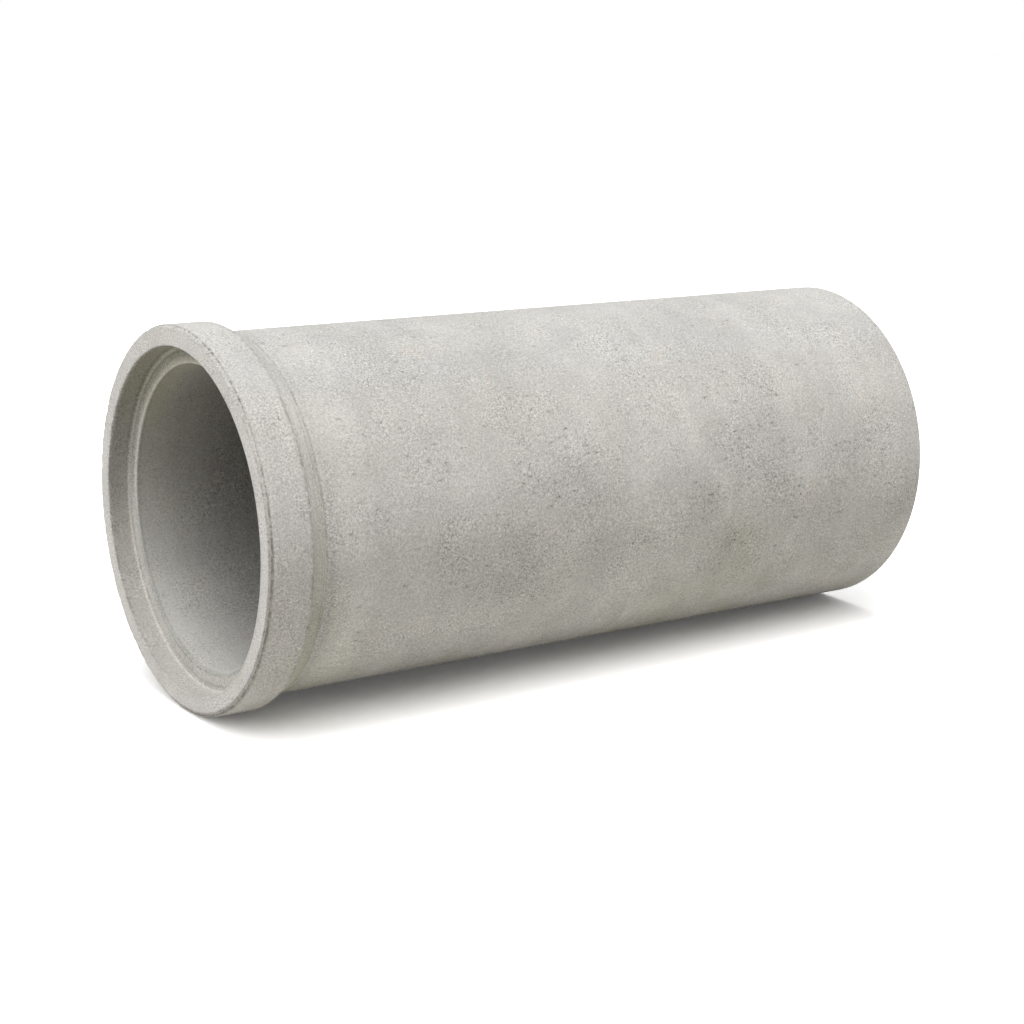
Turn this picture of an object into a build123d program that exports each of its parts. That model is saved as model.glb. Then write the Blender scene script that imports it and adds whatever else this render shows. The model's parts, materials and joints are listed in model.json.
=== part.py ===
from build123d import *
import math
import os

# A precast concrete sewer pipe that lies on its side, with a socketed bell at one end.
# Sizes are in millimetres. X runs along the pipe from the bell to the plain end, Z is up.

# The long barrel
overall_length = 2015.0
bore_diameter = 750.0
wall_thickness = 70.0
end_arris = 3.0

# The bell's outside, measured back from its open face
bell_diameter = 945.0
bell_back_depth = 107.0
taper_end_depth = 158.5
face_bevel_length = 8.0
face_bevel_drop = 10.5

# The socket inside the bell, measured in from the face
socket_diameter = 842.0
socket_wall_depth = 53.0
mouth_softening = 2.5
cove_depth = 6.5
cove_width = 11.0
shoulder_bevel_width = 7.0
shoulder_depth = 57.0
bore_lip_round = 4.0

bore_radius = bore_diameter / 2
barrel_radius = bore_radius + wall_thickness
bell_radius = bell_diameter / 2
face_radius = bell_radius - face_bevel_drop
socket_radius = socket_diameter / 2
groove_depth = socket_wall_depth + cove_depth
groove_radius = socket_radius - cove_width
ring_radius = groove_radius - shoulder_bevel_width
end_radius = barrel_radius - end_arris
arris_depth = overall_length - end_arris


def spun(corners):
    """Turn a closed outline of (depth, radius) corners about the pipe's axis."""
    outline = Polyline([Vector(depth, 0, radius) for depth, radius in corners], close=True)
    return revolve(make_face(outline), Axis.X)


def outer_body():
    """The bell, its taper and the barrel as one solid log."""
    bell_side = [
        (0, 0),
        (0, face_radius),
        (face_bevel_length, bell_radius),
        (bell_back_depth, bell_radius),
    ]
    barrel_side = [
        (taper_end_depth, barrel_radius),
        (arris_depth, barrel_radius),
        (overall_length, end_radius),
        (overall_length, 0),
    ]
    return spun(bell_side + barrel_side)


def socket_hollow():
    """The socket with its softened mouth, its coved corner and the bevelled shoulder."""
    wall_side = [
        (0, 0),
        (0, socket_radius + mouth_softening),
        (mouth_softening, socket_radius),
        (socket_wall_depth, socket_radius),
    ]
    shoulder_side = [
        (groove_depth, groove_radius),
        (shoulder_depth, ring_radius),
        (shoulder_depth, 0),
    ]
    return spun(wall_side + shoulder_side)


def bore_hollow():
    """The bore from the shoulder to the plain end, eased open at the end face."""
    corners = [
        (shoulder_depth, 0),
        (shoulder_depth, bore_radius),
        (arris_depth, bore_radius),
        (overall_length, bore_radius + end_arris),
        (overall_length, 0),
    ]
    return spun(corners)


def round_bore_lip(pipe):
    """Round the edge where the shoulder turns into the bore."""
    rings = pipe.edges().filter_by(GeomType.CIRCLE)
    lips = [ring for ring in rings if math.isclose(ring.radius, bore_radius, rel_tol=1e-6)]
    lip = min(lips, key=lambda ring: ring.arc_center.X)
    return fillet(lip, bore_lip_round)


def laid_down(pipe):
    """Rest the pipe on the bell's back edge and the plain end, over the origin."""
    tilt = math.atan2(bell_radius - barrel_radius, arris_depth - bell_back_depth)
    lift = bell_back_depth * math.sin(tilt) + bell_radius * math.cos(tilt)
    bell_reach = face_radius * math.sin(tilt)
    end_reach = overall_length * math.cos(tilt) + end_radius * math.sin(tilt)
    middle = (end_reach - bell_reach) / 2
    return Pos(-middle, 0, lift) * pipe.rotate(Axis.Y, math.degrees(tilt))


def pipe_casting():
    """The whole pipe, one casting."""
    hollowed = outer_body() - socket_hollow() - bore_hollow()
    return laid_down(round_bore_lip(hollowed))


os.makedirs("parts", exist_ok=True)
export_step(pipe_casting(), "parts/pipe.step")
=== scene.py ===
import json
import math

import bpy
import numpy as np
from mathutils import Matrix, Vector

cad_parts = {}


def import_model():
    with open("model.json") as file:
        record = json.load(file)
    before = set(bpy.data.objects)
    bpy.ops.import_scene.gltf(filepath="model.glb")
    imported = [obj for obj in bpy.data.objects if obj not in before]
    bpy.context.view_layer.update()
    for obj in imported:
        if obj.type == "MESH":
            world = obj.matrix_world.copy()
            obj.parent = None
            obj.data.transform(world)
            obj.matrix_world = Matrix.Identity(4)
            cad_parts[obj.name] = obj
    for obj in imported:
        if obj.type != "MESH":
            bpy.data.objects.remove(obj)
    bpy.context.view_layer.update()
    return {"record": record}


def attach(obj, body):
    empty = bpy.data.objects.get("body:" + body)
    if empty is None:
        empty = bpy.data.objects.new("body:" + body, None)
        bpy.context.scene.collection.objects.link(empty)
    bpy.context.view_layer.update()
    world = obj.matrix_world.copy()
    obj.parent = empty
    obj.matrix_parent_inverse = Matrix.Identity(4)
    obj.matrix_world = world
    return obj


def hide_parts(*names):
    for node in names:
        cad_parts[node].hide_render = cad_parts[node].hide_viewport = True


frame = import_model()

MM = 0.001
FULL_TURN = 2 * math.pi

# Sizes that the frame states: the pipe's axis, its radii and how long its parts are
MOUNTS = {mount["name"]: mount for mount in frame["record"]["mounts"]}
AXIS = Vector(MOUNTS["bore"]["axis"]).normalized()
BORE = MOUNTS["bore"]["dims"]["r_mm"]
SOCKET = MOUNTS["socket"]["dims"]["r_mm"]
BARREL = MOUNTS["barrel_end"]["dims"]["r_mm"]
SOCKET_LENGTH = MOUNTS["socket"]["dims"]["length_mm"]
BARREL_LENGTH = MOUNTS["barrel_end"]["dims"]["length_mm"]

# The rest of the outline, in millimetres, depths measured in from the bell's face
MOUTH_SOFT = 2.5
COVE_DEPTH = 6.5
COVE_WIDTH = 11.0
SHOULDER_BEVEL = 7.0
SHOULDER_DEPTH = 57.0
LIP_ROUND = 4.0
BELL = 472.5
BEVEL_LENGTH = 8.0
BEVEL_DROP = 10.5
BEVEL_INNER = BELL - BEVEL_DROP
BELL_BACK = 107.0
TAPER_END = 158.5
ARRIS = 3.0
WALL_END = MOUTH_SOFT + SOCKET_LENGTH
ARRIS_DEPTH = TAPER_END + BARREL_LENGTH
LENGTH = ARRIS_DEPTH + ARRIS

# The middle of the bell's face, and two directions across the axis: up and towards the viewer
FACE_CENTRE = Vector(MOUNTS["socket"]["pos_m"]) - AXIS * ((MOUTH_SOFT + SOCKET_LENGTH / 2) * MM)
UP = (Vector((0, 0, 1)) - AXIS * AXIS.z).normalized()
SIDE = AXIS.cross(UP)

# Points around the pipe: most at the worn bevel, fewer along the barrel, fewest deep in the bore
RIM_POINTS = 1152
BELL_POINTS = 576
BARREL_POINTS = 288
BORE_POINTS = 144

# Extra rings on the long runs: how far they lie from the run's end nearest the bell, in millimetres,
# and how far from it the evenly spaced rings begin
CLOSE_RINGS = {
    "bore": ((4, 9, 15, 22, 31, 42, 56, 75), 90),
    "barrel": ((4, 9, 15, 22, 31, 43), 55),
    "bell": ((1.6, 3.6, 6.2), 8.5),
}

# How much skin the weathered surface gives up, the least and the most, in millimetres
SKIN = 0.4
LEAST_SKIN = 0.12
MOST_SKIN = 3.2

# How far along the outline a corner's softly turned direction reaches, in millimetres
FACING_REACH = 6.0

# How much painted shade each inner part gets, and how far the damp film keeps off it
INNER_SHADE = {"bore": 1.0, "shoulder": 0.5, "cove": 0.6, "wall": 0.85}

# Marks of its own on the barrel. Places are a depth from the bell's face in millimetres and a turn in
# degrees from the top towards the viewer. A blotch has a length, a width round the barrel and a strength.
BARREL_TONE = -0.015
# The barrel is paler from the bell back to this depth
PALE_BAND_END = 300.0
PALE_BAND_TONE = 0.085
BLOTCHES = [
    (640, 108, 110, 120, -0.045),
    (590, 92, 130, 110, -0.030),
    (830, 76, 90, 110, -0.075),
    (1400, 74, 120, 130, -0.060),
    (1640, 97, 100, 100, -0.085),
    (1530, 97, 70, 90, -0.065),
    (300, 86, 45, 60, -0.070),
    (1420, 108, 80, 110, -0.060),
    (1200, 132, 60, 50, 0.070),
    (1130, 108, 80, 60, -0.030),
    (1250, 93, 62, 80, -0.105),
    (1120, 84, 60, 50, -0.060),
    (1800, 78, 110, 60, -0.075),
    (470, 33, 120, 90, -0.050),
    (1350, 30, 190, 90, -0.040),
    (1029, 60, 60, 50, -0.040),
    (1021, 37, 80, 60, 0.035),
    (1658, 34, 110, 60, 0.020),
    (790, 36, 80, 60, -0.040),
    (330, 15, 90, 80, 0.045),
    (1050, 135, 160, 50, 0.060),
    (245, 126, 45, 120, 0.090),
    (1100, 80, 80, 130, 0.045),
    (960, 120, 260, 60, 0.040),
    (520, 70, 120, 90, 0.020),
    (495, 92, 70, 90, -0.045),
]
# Olive stains where the concrete stays damp, measured in the same way
STAINS = [
    (1378, 107, 70, 45, 0.50),
    (1434, 116, 70, 60, 0.60),
    (1389, 127, 120, 50, 0.50),
    (193, 111, 28, 70, 0.60),
]
# A pale trace left by the mould, as the places that it runs through, with its half width and strength
MOULD_TRACE = [(1200, 50), (1225, 62), (1240, 73), (1290, 80), (1325, 90), (1345, 100)]
TRACE_WIDTH = 22.0
TRACE_TONE = 0.095
# Clusters of air holes: depth, turn, spread in millimetres and how many
PIT_CLUSTERS = [
    (797, 65, 10, 3),
    (833, 65, 14, 3),
    (764, 76, 16, 5),
    (839, 76, 45, 15),
    (872, 84, 24, 7),
    (1317, 52, 5, 2),
    (1406, 48, 4, 1),
    (1296, 56, 4, 1),
    (1029, 60, 12, 4),
    (1744, 78, 16, 5),
    (1830, 78, 38, 8),
    (303, 83, 14, 4),
    (1262, 91, 30, 6),
    (1397, 72, 60, 12),
    (1568, 95, 50, 6),
    (1367, 107, 22, 5),
    (507, 31, 70, 12),
    (447, 66, 40, 7),
    (640, 108, 60, 7),
]
# Air holes of no known place: clusters on the hidden side, their spread, and single holes all round
PIT_SEED = 17
HIDDEN_CLUSTERS = 26
HIDDEN_SPREAD = 45
SINGLE_HOLES = 200
PIT_SIDES = 8
# How far across the hollow's floor reaches, as a share of its rim
PIT_FLOOR = 0.62

# How fine the concrete's patterns are, in lumps to a metre, along the pipe first where there are three
GRAIN_SCALE = 215.0
SPECK_SCALE = 125.0
HOLE_SCALE = 62.0
CROWD_SCALE = 8.0
CLOUD_SCALE = 6.0
HUE_SCALE = 4.2
RUST_SCALE = 12.0
RING_SCALE = (15.0, 1.1, 1.1)
LINE_SCALE = (230.0, 4.0, 4.0)
FILM_SCALE = (5.5, 3.5, 3.5)
# How strongly each pattern changes the tone
GRAIN_WEIGHT = 1.80
CLOUD_WEIGHT = 0.40
RING_WEIGHT = 0.16
LINE_WEIGHT = 0.45
# How much of their own colour specks, air holes and dirt lay over the concrete
SPECK_COVER = 0.55
HOLE_COVER = 0.55
DIRT_COVER = 0.85

# The concrete's colours as they show on a screen, from 0 to 255
WASHED_GREY = (197.5, 196, 192)
COOL_GREY = (200, 196, 191)
PLAIN_GREY = (199, 196, 191)
WARM_GREY = (200, 196, 186.5)
DAMP_FILM = (175, 172, 156)
OLIVE_STAIN = (188, 185, 168)
RUST = (190, 177, 163)
# Painted shade for the socket and bore, grey and tinted olive
PAINTED_SHADE_GREY = (138.5, 135.5, 127)
PAINTED_SHADE_OLIVE = (144.5, 140, 121.5)
SPECK = (108, 105, 98)
AIR_HOLE = (92, 89, 82)
DIRT = (102, 97, 87)
ROUGHNESS = 0.92
SPECULAR = 0.25
BUMP_STRENGTH = 0.5
BUMP_HEIGHT = 0.0012

CAMERA_PLACE = Vector((-3.0212, -4.4121, 1.6519))
CAMERA_AIM = Vector((-0.0473, 0.0, 0.37))
CAMERA_LENS = 72.53
CAMERA_SENSOR = 36.0
CAMERA_REACH = 200.0

WORLD_LIGHT = 0.10
FLOOR_BOUNCE = 0.74
FLOOR_SEEN = 1.42
FLOOR_LIFT = 0.068
FLOOR_SIZE = 60.0

# Broad lamps: compass angle from straight in front, height and spread in degrees, and strength
LAMPS = {
    "lamp_over": (0, 90, 100, 0.47),
    "lamp_top": (0, 90, 40, 0.68),
    "lamp_high": (-34, 78, 50, 0.36),
    "lamp_front_high": (-34, 60, 50, 0.51),
    "lamp_front_left": (-75, 45, 50, 0.18),
    "lamp_front_right": (20, 45, 50, 0.11),
    "lamp_right_high": (40, 60, 50, 0.46),
    "lamp_right_low": (60, 20, 50, 0.12),
    "lamp_bell_high": (-90, 55, 50, 0.62),
    "lamp_bell": (-92, 30, 50, 0.29),
    "lamp_bell_low": (-90, 12, 40, 0.77),
}


def lattice(cell, seed):
    """Repeatable random numbers from 0 to 1, one for each whole-number cell."""
    mixed = cell[..., 0] * 73856093 + cell[..., 1] * 19349663 + cell[..., 2] * 83492791 + seed * 2654435
    mixed = (mixed ^ (mixed >> 13)) * 1274126177 & 0xFFFFFFFF
    mixed = (mixed ^ (mixed >> 15)) * 2246822519 & 0xFFFFFFFF
    return ((mixed ^ (mixed >> 16)) & 0xFFFFFF) / 0xFFFFFF


def cloud(places, size, seed):
    """Smooth noise from -1 to 1 whose lumps are about size across; size may be one number per direction."""
    scaled = places / np.asarray(size, dtype=float)
    cell = np.floor(scaled).astype(np.int64)
    part = scaled - cell
    part = part * part * (3 - 2 * part)
    total = np.zeros(len(places))
    for corner in np.ndindex(2, 2, 2):
        step = np.array(corner)
        share = np.prod(np.where(step == 1, part, 1 - part), axis=1)
        total += share * lattice(cell + step, seed)
    return total * 2 - 1


def ease(value, low, high):
    """0 below low, 1 above high, and a smooth rise between them."""
    part = np.clip((value - low) / (high - low), 0, 1)
    return part * part * (3 - 2 * part)


def near(value, middle, reach):
    """1 at middle, fading to 0 at reach on either side."""
    return 1 - ease(np.abs(value - middle), 0, reach)


def turn_degrees(turn):
    """A turn about the axis in degrees, from -180 to 180: 0 on top, more towards the viewer."""
    return np.degrees((turn + math.pi) % FULL_TURN - math.pi)


def from_top(turn):
    """How many degrees a turn is away from the top, to either side."""
    return np.abs(turn_degrees(turn))


def straight_places(depth, radius, turn):
    """The places of points in millimetres, along the axis and two directions across it."""
    return np.stack([depth, radius * np.cos(turn), radius * np.sin(turn)], axis=1)


def spot(depth, turn, mark, length, width):
    """A soft mark on the barrel, 1 at the depth and turn that it has, fading along and round the pipe."""
    middle, at_turn = mark
    across = np.radians(turn_degrees(turn) - at_turn) * BARREL
    return np.exp(-((depth - middle) / length) ** 2 - (across / width) ** 2)


def outer_side(depth, radius):
    """True on the outside of the casting, behind the bell's face."""
    return (radius > BARREL - 6) & (depth > 4)


def rounded(corner, before, after, radius, steps):
    """The points of a small rounding at a corner of the outline."""
    corner, before, after = (np.array(point, dtype=float) for point in (corner, before, after))
    to_before = (before - corner) / np.linalg.norm(before - corner)
    to_after = (after - corner) / np.linalg.norm(after - corner)
    half = math.acos(np.clip(np.dot(to_before, to_after), -1, 1)) / 2
    inward = (to_before + to_after) / np.linalg.norm(to_before + to_after)
    middle = corner + inward * radius / math.sin(half)
    first = corner + to_before * radius / math.tan(half) - middle
    last = corner + to_after * radius / math.tan(half) - middle
    turn = math.pi - 2 * half
    points = []
    for k in range(steps + 1):
        share = k / steps
        arm = (first * math.sin((1 - share) * turn) + last * math.sin(share * turn)) / math.sin(turn)
        points.append(tuple(middle + arm))
    return points


def outline():
    """Rings as (depth, radius, points around, region), in through the bore and back along the outside."""
    shoulder_foot = SOCKET - COVE_WIDTH - SHOULDER_BEVEL
    groove = (WALL_END + COVE_DEPTH, SOCKET - COVE_WIDTH)
    # Corner, rounding, steps of the rounding, and for the run after it: spacing, points around, region
    corners = [
        ((LENGTH, BORE + ARRIS), 1.2, 2, 1.5, BARREL_POINTS, "end"),
        ((ARRIS_DEPTH, BORE), 1.2, 2, 60.0, BORE_POINTS, "bore"),
        ((SHOULDER_DEPTH, BORE), LIP_ROUND, 3, 7.0, BELL_POINTS, "shoulder"),
        ((SHOULDER_DEPTH, shoulder_foot), 1.0, 2, 2.5, BELL_POINTS, "shoulder"),
        (groove, 0.9, 2, 3.0, BELL_POINTS, "cove"),
        ((WALL_END, SOCKET), 1.6, 2, 8.0, BELL_POINTS, "wall"),
        ((MOUTH_SOFT, SOCKET), 1.4, 2, 1.5, BELL_POINTS, "mouth"),
        ((0, SOCKET + MOUTH_SOFT), 1.4, 2, 5.0, BELL_POINTS, "face"),
        ((0, BEVEL_INNER), 1.2, 2, 1.9, RIM_POINTS, "bevel"),
        ((BEVEL_LENGTH, BELL), 1.8, 2, 7.0, BELL_POINTS, "bell"),
        ((BELL_BACK, BELL), 2.0, 2, 3.9, BELL_POINTS, "taper"),
        ((TAPER_END, BARREL), 5.0, 3, 25.0, BARREL_POINTS, "barrel"),
        ((ARRIS_DEPTH, BARREL), 1.2, 2, 1.5, BARREL_POINTS, "end"),
        ((LENGTH, BARREL - ARRIS), 1.2, 2, 12.0, BARREL_POINTS, "end"),
    ]
    rings = []
    for k, (corner, radius, steps, spacing, around, region) in enumerate(corners):
        before = corners[k - 1]
        after, beyond = corners[(k + 1) % len(corners)], corners[(k + 2) % len(corners)]
        arc = rounded(corner, before[0], after[0], radius, steps)
        most = max(around, before[4])
        rings += [(depth, size, most, region) for depth, size in arc]
        far_arc = rounded(after[0], corner, beyond[0], after[1], 2)
        start, stop = np.array(arc[-1]), np.array(far_arc[0])
        for share in run_places(np.linalg.norm(stop - start), spacing, region):
            point = start + (stop - start) * share
            rings.append((point[0], point[1], around, region))
    return stepped(rings)


def run_places(length, spacing, region):
    """Where rings lie along a straight run, as shares of it: closer near the bell on the long runs."""
    if region not in CLOSE_RINGS:
        count = max(1, round(length / spacing))
        return [k / count for k in range(1, count)]
    close, clear = CLOSE_RINGS[region]
    count = int(length / spacing)
    if region == "bore":
        even = [k / count for k in range(1, count) if k / count < 1 - clear / length]
        return even + [1 - gap / length for gap in reversed(close)]
    even = [k / count for k in range(1, count) if k / count > clear / length]
    return [gap / length for gap in close] + even


def stepped(rings):
    """Let the points around halve or double only once from one ring to the next."""
    counts = [ring[2] for ring in rings]
    changed = True
    while changed:
        changed = False
        for k in range(len(counts)):
            for other in (k - 1, (k + 1) % len(counts)):
                if counts[k] > 2 * counts[other]:
                    counts[other] = counts[k] // 2
                    changed = True
    return [(depth, size, count, region) for (depth, size, _, region), count in zip(rings, counts)]


def worn(depth, radius, turn):
    """How far the skin lies inside the true outline in millimetres, its dirt, and where the taper is."""
    places = straight_places(depth, radius, turn)
    skin = SKIN + 0.20 * cloud(places, 160, 1) + 0.10 * cloud(places, 42, 2)
    dirt = np.zeros(len(depth))

    # Small damage and dirt, scattered everywhere and let through only along the edges
    chips = ease(cloud(places, 9, 3) + 0.35 * cloud(places, 55, 4), 0.30, 0.75)
    bites = ease(cloud(places, 5.5, 5) + 0.30 * cloud(places, 80, 6), 0.25, 0.70)
    dots = ease(cloud(places, 10, 10) + 0.6 * cloud(places, 5, 18), -0.15, 0.35)
    dashes = ease(cloud(places, 9, 16) + 0.6 * cloud(places, 30, 17), -0.35, 0.35) * (0.45 + 0.55 * dots)
    lower_half = ease(0.5 - 0.5 * np.cos(turn), 0.30, 0.62)
    flank = near(from_top(turn), 84, 32)

    # The bevel, the dented line along it, and the rim where it meets the face
    at_bevel = near(radius, BELL - BEVEL_DROP / 2, 9) * near(depth, BEVEL_LENGTH / 2, 11)
    at_rim = near(depth, 0, 5) * near(radius, BEVEL_INNER, 5)
    across = (radius - BEVEL_INNER) / BEVEL_DROP
    before_edge = (1 - ease(depth, BEVEL_LENGTH - 0.5, BEVEL_LENGTH + 2)) * (depth < BELL_BACK)
    on_bevel = ease(across, -0.15, 0.10) * before_edge
    worn_line = near(across, 0.84 - 0.24 * lower_half, 0.32) * on_bevel
    skin += at_bevel * (0.25 + 0.8 * chips + 0.6 * bites)
    skin += worn_line * 0.5 * dots
    skin += at_rim * (0.9 * chips + 0.5 * bites)
    dirt += on_bevel * (0.14 + 0.40 * lower_half + 0.30 * flank + 0.20 * chips + 0.20 * bites)
    dirt += worn_line * (0.20 + 0.11 * lower_half + (0.55 + 0.45 * lower_half) * dots + 0.2 * bites)
    dirt += at_rim * (0.06 + 0.4 * bites + 0.20 * lower_half)

    # The bell's two outer edges and the foot of its taper
    at_crease = near(depth, BEVEL_LENGTH, 6) * (radius > BELL - 6)
    at_back = near(depth, BELL_BACK, 7) * (radius > BELL - 6)
    on_foot = (radius > BARREL - 2) * (radius < BARREL + 9)
    skin += at_crease * (0.6 * chips + 0.6 * bites)
    skin += at_back * (0.7 * chips + 0.5 * bites)
    skin += near(depth, TAPER_END, 9) * on_foot * 0.4 * bites
    dirt += at_crease * (0.06 + 0.4 * bites * (1 - 0.7 * lower_half))
    back_line = near(depth, BELL_BACK + 1, 4.5) * (radius > BELL - 5)
    dirt += back_line * (0.16 + 0.85 * dashes + 0.35 * bites)
    foot_line = near(depth, TAPER_END - 2, 4.5) * on_foot
    dirt += foot_line * (0.12 + 0.70 * dashes + 0.35 * bites)

    # The socket's mouth, and the crease that shows along it on the far side
    at_mouth = near(depth, MOUTH_SOFT / 2, 5) * near(radius, SOCKET + MOUTH_SOFT / 2, 5)
    far_side = ease(-np.sin(turn), -0.2, 0.5)
    mouth_line = near(depth, MOUTH_SOFT + 0.5, 3) * near(radius, SOCKET, 3) * far_side
    skin += at_mouth * (0.5 * chips + 0.3 * bites)
    dirt += at_mouth * (0.06 + 0.24 * bites)
    dirt += mouth_line * (0.12 + 0.55 * dots) * (1 - 0.5 * ease(-np.cos(turn), 0.8, 1))

    # The taper: fine lines that run round the pipe
    on_taper = ease(depth, BELL_BACK, BELL_BACK + 5) * (1 - ease(depth, TAPER_END - 4, TAPER_END + 3))
    on_taper = on_taper * (radius > BARREL - 2)
    lines = cloud(places, (4.2, 260, 260), 7)
    skin += on_taper * (0.30 + 0.30 * lines)
    dirt += on_taper * (0.10 + 0.24 * lower_half) * ease(lines, -0.1, 0.8)

    # The groove in the corner of the socket is darker
    in_groove = near(depth, WALL_END + COVE_DEPTH, 3.0) * near(radius, SOCKET - COVE_WIDTH, 3.5)
    dirt += in_groove * 0.16
    return np.clip(skin, LEAST_SKIN, MOST_SKIN), np.clip(0.74 * dirt, 0, 1), on_taper


def barrel_marks(depth, turn):
    """How much paler or darker the barrel is at each place, and how thick its air holes lie."""
    degrees = turn_degrees(turn)
    places = straight_places(depth, BARREL, turn)
    ragged = 1 + 0.7 * cloud(places, 46, 11) + 0.4 * cloud(places, 21, 12)
    on_barrel = ease(depth, TAPER_END - 6, TAPER_END + 4)
    tone = np.full(len(depth), BARREL_TONE)
    for middle, at_turn, length, width, strength in BLOTCHES:
        tone += strength * spot(depth, turn, (middle, at_turn), length, width) * ragged

    edge = PALE_BAND_END + 12 * cloud(places, 90, 13) + 5 * cloud(places, 30, 14)
    pale_band = on_barrel * (1 - ease(depth, edge - 22, edge + 8))
    tone += PALE_BAND_TONE * pale_band * (0.8 + 0.3 * cloud(places, 60, 15))

    trace_depths, trace_turns = zip(*MOULD_TRACE)
    first, last = trace_turns[0], trace_turns[-1]
    from_trace = depth - np.interp(degrees, trace_turns, trace_depths)
    ends = ease(degrees, first - 6, first + 6) * (1 - ease(degrees, last - 6, last + 6))
    tone += TRACE_TONE * ends * np.exp(-(from_trace / TRACE_WIDTH) ** 2) * ragged

    rough = np.zeros(len(depth))
    for middle, at_turn, spread, _ in PIT_CLUSTERS:
        reach = spread * 1.6 + 14
        rough = np.maximum(rough, spot(depth, turn, (middle, at_turn), reach, reach))
    # A painted highlight along the barrel just behind the taper's foot
    foot_highlight = near(depth, TAPER_END + 7, 6)
    return tone * on_barrel + 0.06 * foot_highlight, 0.6 * rough * on_barrel


def stained(depth, radius, turn):
    """How olive the concrete is: in its damp places outside, and under the roof of the mouth."""
    olive = np.zeros(len(depth))
    for middle, at_turn, length, width, strength in STAINS:
        olive += strength * spot(depth, turn, (middle, at_turn), length, width)
    olive *= (0.9 + 0.6 * cloud(straight_places(depth, BARREL, turn), 34, 19)) * outer_side(depth, radius)
    under_roof = ease(depth, 1, 4) * (1 - ease(depth, SHOULDER_DEPTH + 5, SHOULDER_DEPTH + 110))
    under_roof = under_roof * (radius < SOCKET + 1)
    return olive + 0.8 * under_roof * (1 - ease(from_top(turn), 38, 84))


def inner_marks(depth, radius, turn):
    """How much paler or darker the socket and the bore are: painted light and shade on the socket's parts,
    and in the bore painted light near its mouths and painted shade further in.
    """
    low = 0.5 - 0.5 * np.cos(turn)
    lower, upper, top = ease(low, 0.50, 0.72), 1 - ease(low, 0.38, 0.60), 1 - ease(low, 0.22, 0.58)

    # The bore: painted light near its mouths, painted shade further in
    from_mouth = np.minimum(depth - SHOULDER_DEPTH, LENGTH - depth)
    in_bore = (radius < BORE + 3) * (depth > SHOULDER_DEPTH + 1)
    painted_mouth_light = ease(from_mouth, 3, 14) * (1 - ease(from_mouth, 14, 200))
    tone = in_bore * (0.36 * painted_mouth_light - 0.28 * ease(from_mouth, 110, 330))

    # The shoulder at the bottom of the socket, with painted shade that is strongest on top, and the bore's
    # lip, with a painted highlight on top and darker low down
    at_shoulder = near(depth, SHOULDER_DEPTH, 6)
    on_shoulder = at_shoulder * ease(radius, BORE + 1, BORE + 5) * (radius < SOCKET - COVE_WIDTH + 1)
    tone -= on_shoulder * (0.10 + 0.28 * upper * ease(radius, BORE + 8, BORE + 20))
    on_lip = near(depth, SHOULDER_DEPTH + 1, 6) * (radius > BORE - 2) * (1 - ease(radius, BORE + 2, BORE + 9))
    tone += 0.14 * upper * on_lip
    tone -= 0.25 * lower * at_shoulder * near(radius, BORE + 4, 9)

    # The cove: a painted highlight on its edge low down, painted shade on top, and a darker groove
    up_cove = (SOCKET - radius) / COVE_WIDTH
    at_cove = (depth > WALL_END - 1) * (depth < WALL_END + COVE_DEPTH + 2)
    on_cove = at_cove * (up_cove > -0.1) * (up_cove < 1.1)
    tone += on_cove * (0.12 - 0.47 * top) * near(up_cove, 0.2, 0.40)
    tone -= on_cove * (0.08 + 0.16 * lower) * ease(up_cove, 0.35, 0.6) * (1 - ease(up_cove, 0.75, 1))

    # The socket's wall, with painted light low down and painted shade on top, and the bell's face
    on_wall = (radius < SOCKET + 1) * (radius > SOCKET - 3)
    wall_tone = ease(WALL_END + 1 - depth, 0, 4) * (0.18 * low - 0.06)
    tone += on_wall * (wall_tone - 0.14 * top * near(depth, WALL_END, 6))
    on_face = (depth < 4) * (radius > SOCKET) * (radius < BELL)
    return tone - on_face * (0.03 + 0.09 * low * near(radius, SOCKET + 3, 14))


def outer_marks(depth, turn):
    """Painted shade on the lower flanks, darker behind the taper's foot, a paler taper on top, and painted
    light from the ground under the bell.
    """
    away = from_top(turn)
    on_taper = ease(depth, BELL_BACK - 1, BELL_BACK + 3) * (1 - ease(depth, TAPER_END - 5, TAPER_END + 1))
    # Painted shade along the flanks below the middle, stronger near the bell
    flank = near(away, 106, 34) * (1 - 0.5 * on_taper)
    near_bell = 1 - ease(depth, 180, 420)
    tone = -flank * (0.10 + 0.09 * near_bell)
    tone -= (0.08 + 0.10 * ease(away, 80, 95)) * near(depth, TAPER_END + 11, 22)
    # Painted light from the ground on the underside of the bell and taper
    tone += 0.16 * ease(away, 138, 154) * ease(depth, 40, 80) * (1 - ease(depth, TAPER_END, TAPER_END + 15))
    top = 1 - ease(away, 42, 72)
    tone = tone + top * (0.16 * on_taper + 0.04 * (depth < BELL_BACK))
    return tone + 0.05 * on_taper * ease(away, 104, 124)


def warmth(depth, radius, turn):
    """How warm the concrete looks: 0 on the washed top, 1 low on the flanks, half or less inside."""
    away = from_top(turn)
    within = 0.5 - 0.42 * (radius < BORE + 3) * ease(away, 72, 108) - 0.2 * (np.abs(radius - SOCKET) < 2)
    without = 0.5 * ease(away, 30, 58) + 0.5 * ease(away, 76, 104)
    return np.where(outer_side(depth, radius), without, within)


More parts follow.
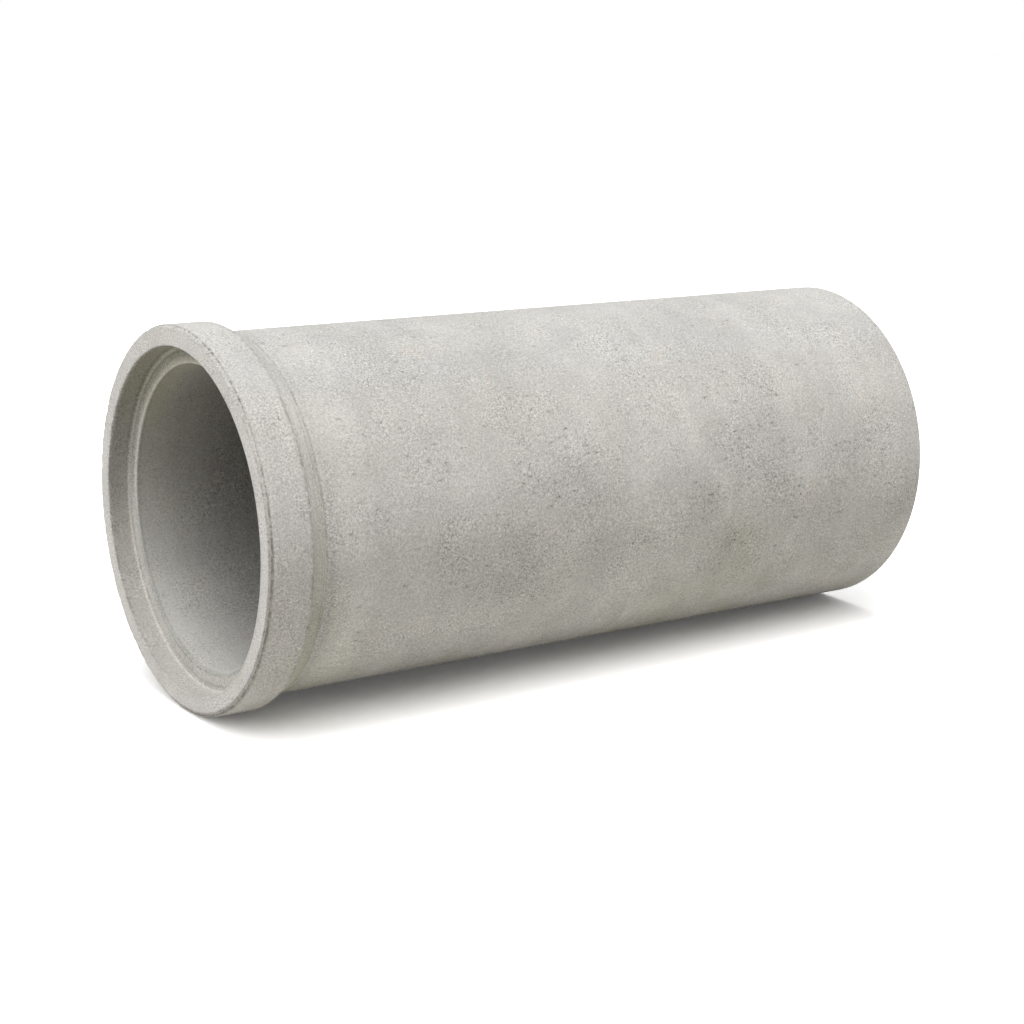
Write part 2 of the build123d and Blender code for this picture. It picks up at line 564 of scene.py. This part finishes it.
def outward(sizes):
    """Which way the outline faces at each of its points, turned softly through its corners."""
    runs = np.roll(sizes, -1, axis=0) - sizes
    lengths = np.linalg.norm(runs, axis=1)
    faced = np.stack([-runs[:, 1], runs[:, 0]], axis=1)
    start = np.concatenate([[0], np.cumsum(lengths)])
    middles = (start[:-1] + start[1:]) / 2
    facing = []
    for k in range(len(sizes)):
        away = np.abs(middles - start[k])
        away = np.minimum(away, start[-1] - away)
        share = np.clip(1 - away / FACING_REACH, 0, 1)
        share[k] += 0.01
        share[k - 1] += 0.01
        way = (share[:, None] * faced).sum(axis=0)
        facing.append(way / np.linalg.norm(way))
    return np.array(facing)


def weathered_points(rings):
    """The rings' points, sunk by their wear, as lists of values, one for each point."""
    counts = [count for _, _, count, _ in rings]
    sizes = np.array([(depth, radius) for depth, radius, _, _ in rings])
    facing = np.repeat(outward(sizes), counts, axis=0)
    depth, radius = np.repeat(sizes, counts, axis=0).T
    turn = np.concatenate([np.arange(count) * FULL_TURN / count for count in counts])
    skin, dirt, on_taper = worn(depth, radius, turn)
    return {
        "depth": depth - facing[:, 0] * skin,
        "radius": radius - facing[:, 1] * skin,
        "turn": turn,
        "dirt": dirt,
        # How much painted shade the point gets inside the socket and bore
        "inside": np.repeat([INNER_SHADE.get(region, 0.0) for _, _, _, region in rings], counts),
        "taper": on_taper,
    }


def casting_mesh():
    """The whole casting as one closed skin: rings of points joined into faces, some with an air hole."""
    rings = outline()
    points = weathered_points(rings)
    starts = [0]
    for _, _, count, _ in rings[:-1]:
        starts.append(starts[-1] + count)
    faces = []
    for k in range(len(rings)):
        other = (k + 1) % len(rings)
        faces += strip(starts[k], rings[k][2], starts[other], rings[other][2])
    points, faces = pitted(points, faces, pit_places(rings, starts))

    depth, radius, turn = points["depth"], points["radius"], points["turn"]
    outside = outer_side(depth, radius)
    on_barrel = outside & (depth > TAPER_END - 6)
    tone, rough = (values * on_barrel for values in barrel_marks(depth, turn))
    layers = {
        "dirt": points["dirt"],
        "inside": points["inside"],
        "taper": points["taper"],
        "tone": tone + inner_marks(depth, radius, turn) + outer_marks(depth, turn) * outside,
        "rough": rough,
        "warm": warmth(depth, radius, turn),
        "olive": stained(depth, radius, turn),
    }

    ring_ways = np.cos(turn)[:, None] * np.array(UP) + np.sin(turn)[:, None] * np.array(SIDE)
    places = np.array(FACE_CENTRE) + (depth[:, None] * np.array(AXIS) + radius[:, None] * ring_ways) * MM
    mesh = bpy.data.meshes.new("pipe_casting")
    mesh.from_pydata(places.tolist(), [], faces)
    for name, values in layers.items():
        layer = mesh.attributes.new(name, "FLOAT", "POINT")
        layer.data.foreach_set("value", values.astype(np.float32))
    mesh.shade_smooth()
    mesh.update()
    return mesh


def strip(first, here, second, there):
    """Faces between two rings of points whose counts are the same, double or half."""
    if here == there:
        return [(first + j, first + (j + 1) % here, second + (j + 1) % here, second + j) for j in range(here)]
    faces = []
    if here == 2 * there:
        for j in range(there):
            a, b, c = first + 2 * j, first + 2 * j + 1, first + (2 * j + 2) % here
            d, e = second + j, second + (j + 1) % there
            faces += [(a, b, d), (b, e, d), (b, c, e)]
    else:
        for j in range(here):
            a, b, c = second + 2 * j, second + 2 * j + 1, second + (2 * j + 2) % there
            d, e = first + j, first + (j + 1) % here
            faces += [(a, d, b), (d, e, b), (e, c, b)]
    return faces


def wanted_pits(rng, first, last):
    """Air holes as (depth, turn, half width): the clusters that the barrel is known by, and stray ones."""
    wanted = []
    for middle, at_turn, spread, count in PIT_CLUSTERS:
        for _ in range(count):
            depth = middle + rng.normal(0, spread)
            turn = math.radians(at_turn) + rng.normal(0, spread) / BARREL
            wanted.append((depth, turn, rng.uniform(0.12, 0.32)))
    for _ in range(HIDDEN_CLUSTERS):
        middle, about = rng.uniform(first, last), math.radians(rng.uniform(140, 360))
        for _ in range(int(rng.integers(3, 12))):
            depth = middle + rng.normal(0, HIDDEN_SPREAD)
            turn = about + rng.normal(0, HIDDEN_SPREAD) / BARREL
            wanted.append((depth, turn, rng.uniform(0.12, 0.30)))
    for _ in range(SINGLE_HOLES):
        wanted.append((rng.uniform(first, last), rng.uniform(0, FULL_TURN), rng.uniform(0.10, 0.26)))
    return wanted


def pit_places(rings, starts):
    """The barrel's faces that get an air hole, and for each its half widths, middle, depth and stain."""
    rng = np.random.default_rng(PIT_SEED)
    usable = []
    for k in range(len(rings) - 1):
        here, there = rings[k], rings[k + 1]
        if here[3] == "barrel" and here[2] == there[2] == BARREL_POINTS and there[0] - here[0] > 10:
            usable.append(k)
    depths = np.array([rings[k][0] for k in usable])
    cut = {}
    for depth, turn, wide in wanted_pits(rng, depths[0], depths[-1]):
        k = usable[int(np.clip(np.searchsorted(depths, depth) - 1, 0, len(usable) - 1))]
        j = int(turn / FULL_TURN * BARREL_POINTS) % BARREL_POINTS
        if (k, (j + 1) % BARREL_POINTS) in cut or (k, (j - 1) % BARREL_POINTS) in cut:
            continue
        middle = (rng.uniform(wide + 0.06, 0.94 - wide), rng.uniform(0.30, 0.70))
        long = wide * rng.uniform(0.28, 0.60)
        cut[(k, j)] = (wide, long, middle, rng.uniform(0.6, 1.8), rng.uniform(0.35, 1.0))
    faces = {}
    for (k, j), pit in cut.items():
        after = (j + 1) % BARREL_POINTS
        faces[(starts[k] + j, starts[k] + after, starts[k + 1] + after, starts[k + 1] + j)] = pit
    return faces


def pitted(points, faces, pits):
    """Replace each chosen face by a small round hollow with a soft rim."""
    depth, radius, turn = points["depth"], points["radius"], points["turn"]
    added = {"depth": [], "radius": [], "turn": [], "dirt": []}
    kept = []
    place = len(depth)
    for face in faces:
        if face not in pits:
            kept.append(face)
            continue
        wide, long, (across, along), deep, stain = pits[face]
        a, b, c, d = face
        low_turn, high_turn = turn[a], turn[b] if turn[b] > turn[a] else turn[b] + FULL_TURN
        rim, floor = [], []
        for m in range(PIT_SIDES):
            angle = FULL_TURN * (m + 0.5) / PIT_SIDES
            across_part = wide * math.cos(angle)
            along_part = long * math.sin(angle) * 0.75
            for share, sunk, ring, grime in ((1.0, 0.0, rim, 0.3 * stain), (PIT_FLOOR, deep, floor, stain)):
                s, t = across + across_part * share, along + along_part * share
                front = radius[a] * (1 - s) + radius[b] * s
                back = radius[d] * (1 - s) + radius[c] * s
                added["depth"].append(depth[a] * (1 - t) + depth[d] * t)
                added["radius"].append(front * (1 - t) + back * t - sunk)
                added["turn"].append(low_turn + (high_turn - low_turn) * s)
                added["dirt"].append(grime)
                ring.append(place)
                place += 1
        # The face's corners in the order in which the rim's points pass them
        corners = (c, d, a, b)
        for q in range(4):
            here, there = corners[q], corners[(q + 1) % 4]
            r0, r1, r2 = rim[2 * q], rim[2 * q + 1], rim[(2 * q + 2) % PIT_SIDES]
            kept += [(here, r1, r0), (here, there, r2, r1)]
        for m in range(PIT_SIDES):
            after = (m + 1) % PIT_SIDES
            kept.append((rim[m], rim[after], floor[after], floor[m]))
        kept.append(tuple(floor))
    nothing = np.zeros(place - len(depth))
    grown = {name: np.concatenate([values, added.get(name, nothing)]) for name, values in points.items()}
    return grown, kept


class Web:
    """A short way to write a tree's nodes and the links between them."""

    def __init__(self, tree):
        self.tree = tree

    def node(self, kind, inputs=(), **settings):
        """A new node, its inputs filled by values or by the outputs of other nodes."""
        made = self.tree.nodes.new("ShaderNode" + kind)
        for key, value in settings.items():
            setattr(made, key, value)
        for key, value in dict(inputs).items():
            self.put(value, made.inputs[key])
        return made

    def put(self, value, socket):
        """Link an output to a socket, or set the socket to a value."""
        if isinstance(value, bpy.types.NodeSocket):
            self.tree.links.new(value, socket)
        else:
            socket.default_value = value

    def math(self, operation, *values, clamp=False):
        return self.node("Math", enumerate(values), operation=operation, use_clamp=clamp).outputs[0]

    def ramp(self, value, low, high, start=0.0, end=1.0):
        """From start to end, smoothly, while the value goes from low to high."""
        inputs = {"Value": value, "From Min": low, "From Max": high, "To Min": start, "To Max": end}
        return self.node("MapRange", inputs, interpolation_type="SMOOTHSTEP").outputs[0]

    def noise(self, vector, scale, detail, roughness):
        inputs = {"Vector": vector, "Scale": scale, "Detail": detail, "Roughness": roughness}
        return self.node("TexNoise", inputs).outputs[0]

    def stretched(self, vector, scale):
        """Places scaled by a factor for each direction, so that a pattern there is stretched."""
        return self.node("VectorMath", {0: vector, 1: scale}, operation="MULTIPLY").outputs[0]

    def blend(self, share, first, second):
        """Two colours mixed: the first at a share of 0, the second at 1."""
        inputs = {0: share, 6: first, 7: second}
        return self.node("Mix", inputs, data_type="RGBA", clamp_factor=True).outputs[2]

    def attribute(self, name):
        """A value that the mesh keeps at its points."""
        return self.node("Attribute", attribute_name=name).outputs["Fac"]

    def swing(self, value, weight):
        """How far a noise is from its middle, times a weight."""
        return self.math("MULTIPLY", self.math("SUBTRACT", value, 0.5), weight)


def new_material(name):
    """An empty material and the web of its nodes."""
    material = bpy.data.materials.new(name)
    material.use_nodes = True
    return material, Web(material.node_tree)


def colour(screen):
    """A colour written as it shows on a screen, from 0 to 255, as the shader's own numbers."""
    parts = [value / 255 for value in screen]
    return tuple(p / 12.92 if p <= 0.04045 else ((p + 0.055) / 1.055) ** 2.4 for p in parts) + (1.0,)


def concrete():
    """Weathered grey cast concrete: soft clouds, mould rings, sandy grain, air holes, olive stains and
    painted shade inside.
    """
    material, web = new_material("concrete")
    place = web.node("TexCoord").outputs["Object"]
    tilt = {"Vector": place, "Axis": (0, 1, 0), "Angle": math.asin(AXIS.z)}
    turned = web.node("VectorRotate", tilt).outputs[0]
    height = web.node("SeparateXYZ", {0: place}).outputs["Z"]
    dirt, inside, taper, marks, rough, warm, olive = (
        web.attribute(name) for name in ("dirt", "inside", "taper", "tone", "rough", "warm", "olive"))

    # Tone: sandy grain, coarser where air holes crowd, soft clouds, faint rings, and fine lines on the taper
    grain = web.noise(turned, GRAIN_SCALE, 2.0, 0.85)
    crowd = web.ramp(web.noise(turned, CROWD_SCALE, 2.0, 0.65), 0.36, 0.68)
    crowd = web.math("MAXIMUM", crowd, rough)
    sandy = web.math("MULTIPLY", web.swing(grain, GRAIN_WEIGHT), web.math("MULTIPLY_ADD", crowd, 0.50, 0.70))
    rings = web.swing(web.noise(web.stretched(turned, RING_SCALE), 1.0, 2.0, 0.62), RING_WEIGHT)
    clouds = web.swing(web.noise(turned, CLOUD_SCALE, 4.0, 0.60), CLOUD_WEIGHT)
    lines = web.swing(web.noise(web.stretched(turned, LINE_SCALE), 1.0, 1.0, 0.5), LINE_WEIGHT)
    tone = web.math("ADD", 1.0, sandy)
    for part in (rings, clouds, marks, web.math("MULTIPLY", taper, lines)):
        tone = web.math("ADD", tone, part)

    # Dark specks and air holes, thicker in some places than in others
    specks = web.ramp(web.noise(turned, SPECK_SCALE, 1.0, 0.6), 0.37, 0.275)
    specks = web.math("MULTIPLY", specks, web.math("MAXIMUM", crowd, 0.35))
    cells = web.node("TexVoronoi", {"Vector": turned, "Scale": HOLE_SCALE}, feature="F1")
    chance = web.node("SeparateColor", {0: cells.outputs["Color"]}).outputs[0]
    reach = web.math("MULTIPLY", web.math("SUBTRACT", chance, 0.62), 0.50)
    holes = web.ramp(web.math("SUBTRACT", cells.outputs["Distance"], reach), 0.0, -0.06)
    holes = web.math("MULTIPLY", holes, web.math("MAXIMUM", crowd, 0.3))

    # Hue: cool on the washed top, warm low on the flanks, with faint patches between
    patch = web.ramp(web.noise(turned, HUE_SCALE, 2.0, 0.55), 0.36, 0.64)
    middling = web.blend(patch, colour(COOL_GREY), colour(PLAIN_GREY))
    base = web.blend(web.ramp(warm, 0.0, 0.5), colour(WASHED_GREY), middling)
    base = web.blend(web.ramp(warm, 0.5, 1.0, 0.0, 0.9), base, colour(WARM_GREY))

    # A damp film low down and on the taper, olive stains, a few faint rusty ones, and painted shade inside
    low = web.ramp(height, 0.36, 0.03, 0.10, 0.62)
    film = web.noise(web.stretched(turned, FILM_SCALE), 1.0, 3.0, 0.62)
    film = web.math("MULTIPLY", web.ramp(film, 0.47, 0.66), low)
    on_flank, below = web.ramp(height, 0.95, 0.25, 0.05, 0.45), web.ramp(height, 0.385, 0.30, 0.0, 0.45)
    on_band = web.math("MULTIPLY", taper, web.math("ADD", on_flank, below))
    film = web.math("ADD", film, on_band, clamp=True)
    film = web.math("MULTIPLY", film, web.math("SUBTRACT", 1.0, inside))
    base = web.blend(film, base, colour(DAMP_FILM))
    base = web.blend(olive, base, colour(OLIVE_STAIN))
    rusty = web.math("MULTIPLY", web.ramp(web.noise(turned, RUST_SCALE, 2.0, 0.6), 0.62, 0.75), 0.25)
    base = web.blend(rusty, base, colour(RUST))
    # Painted shade in the socket and bore, darker towards the top, tinted olive under the mouth's roof
    painted_shade = web.math("MULTIPLY", inside, web.ramp(height, 0.12, 0.75, 0.15, 1.0))
    shade = web.blend(olive, colour(PAINTED_SHADE_GREY), colour(PAINTED_SHADE_OLIVE))
    base = web.blend(painted_shade, base, shade)

    toned = web.node("VectorMath", {0: base, "Scale": tone}, operation="SCALE").outputs[0]
    toned = web.blend(web.math("MULTIPLY", specks, SPECK_COVER), toned, colour(SPECK))
    toned = web.blend(web.math("MULTIPLY", holes, HOLE_COVER), toned, colour(AIR_HOLE))
    toned = web.blend(web.math("MULTIPLY", dirt, DIRT_COVER), toned, colour(DIRT))

    relief = web.math("SUBTRACT", grain, web.math("MULTIPLY", holes, 0.9))
    bump = {"Strength": BUMP_STRENGTH, "Distance": BUMP_HEIGHT, "Height": relief}

    shader = web.tree.nodes["Principled BSDF"]
    web.put(toned, shader.inputs["Base Color"])
    web.put(ROUGHNESS, shader.inputs["Roughness"])
    web.put(SPECULAR, shader.inputs["Specular IOR Level"])
    web.put(web.node("Bump", bump).outputs[0], shader.inputs["Normal"])
    return material


def pipe():
    """The cast pipe as it looks, in the place of its plain solid."""
    piece = bpy.data.objects.new("pipe_casting", casting_mesh())
    bpy.context.collection.objects.link(piece)
    piece.data.materials.append(concrete())
    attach(piece, "root")
    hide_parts("pipe")


def camera():
    """The camera at the photograph's viewing angle."""
    data = bpy.data.cameras.new("camera")
    data.lens = CAMERA_LENS
    data.sensor_width = CAMERA_SENSOR
    data.clip_end = CAMERA_REACH
    viewer = bpy.data.objects.new("camera", data)
    viewer.location = CAMERA_PLACE
    viewer.rotation_euler = (CAMERA_AIM - CAMERA_PLACE).to_track_quat("-Z", "Y").to_euler()
    bpy.context.collection.objects.link(viewer)
    bpy.context.scene.camera = viewer


def seen_directly(web):
    """1 where the camera, a glossy surface or glass looks at a surface, 0 for the light that it sends on."""
    path = web.node("LightPath").outputs
    straight = web.math("MAXIMUM", path["Is Camera Ray"], path["Is Glossy Ray"])
    return web.math("MAXIMUM", straight, path["Is Transmission Ray"])


def grey(level):
    """A neutral colour of one level."""
    return (level, level, level, 1)


def floor():
    """A wide level floor: white where it is seen, and a plain grey for the light it sends back."""
    mesh = bpy.data.meshes.new("floor")
    corners = [(x * FLOOR_SIZE, y * FLOOR_SIZE, 0) for x, y in ((-1, -1), (1, -1), (1, 1), (-1, 1))]
    mesh.from_pydata(corners, [], [(0, 1, 2, 3)])
    ground = bpy.data.objects.new("floor", mesh)
    bpy.context.collection.objects.link(ground)
    material, web = new_material("floor")
    white = web.node("BsdfDiffuse", {"Color": grey(FLOOR_SEEN)}).outputs[0]
    lift = web.node("Emission", {"Color": grey(1), "Strength": FLOOR_LIFT}).outputs[0]
    seen = web.node("AddShader", {0: white, 1: lift}).outputs[0]
    sent = web.node("BsdfDiffuse", {"Color": grey(FLOOR_BOUNCE)}).outputs[0]
    mixed = web.node("MixShader", {0: seen_directly(web), 1: sent, 2: seen}).outputs[0]
    web.put(mixed, web.tree.nodes["Material Output"].inputs["Surface"])
    mesh.materials.append(material)


def world():
    """A white backdrop where it is seen, and a soft even light elsewhere."""
    sky = bpy.data.worlds.new("world")
    sky.use_nodes = True
    web = Web(sky.node_tree)
    background = web.tree.nodes["Background"]
    level = web.node("MapRange", {"Value": seen_directly(web), "To Min": WORLD_LIGHT}).outputs[0]
    web.put(grey(1), background.inputs["Color"])
    web.put(level, background.inputs["Strength"])
    bpy.context.scene.world = sky


def lamps():
    """Broad soft lamps, far away, from above, in front and beyond the bell."""
    for name, (compass, height, spread, strength) in LAMPS.items():
        data = bpy.data.lights.new(name, "SUN")
        data.energy = strength
        data.angle = math.radians(spread)
        turn, rise = math.radians(compass), math.radians(height)
        towards = Vector((math.sin(turn) * math.cos(rise), -math.cos(turn) * math.cos(rise), math.sin(rise)))
        lamp = bpy.data.objects.new(name, data)
        lamp.rotation_euler = towards.to_track_quat("Z", "Y").to_euler()
        bpy.context.collection.objects.link(lamp)


camera()
floor()
world()
lamps()
pipe()

bpy.context.scene.view_settings.view_transform = "Standard"
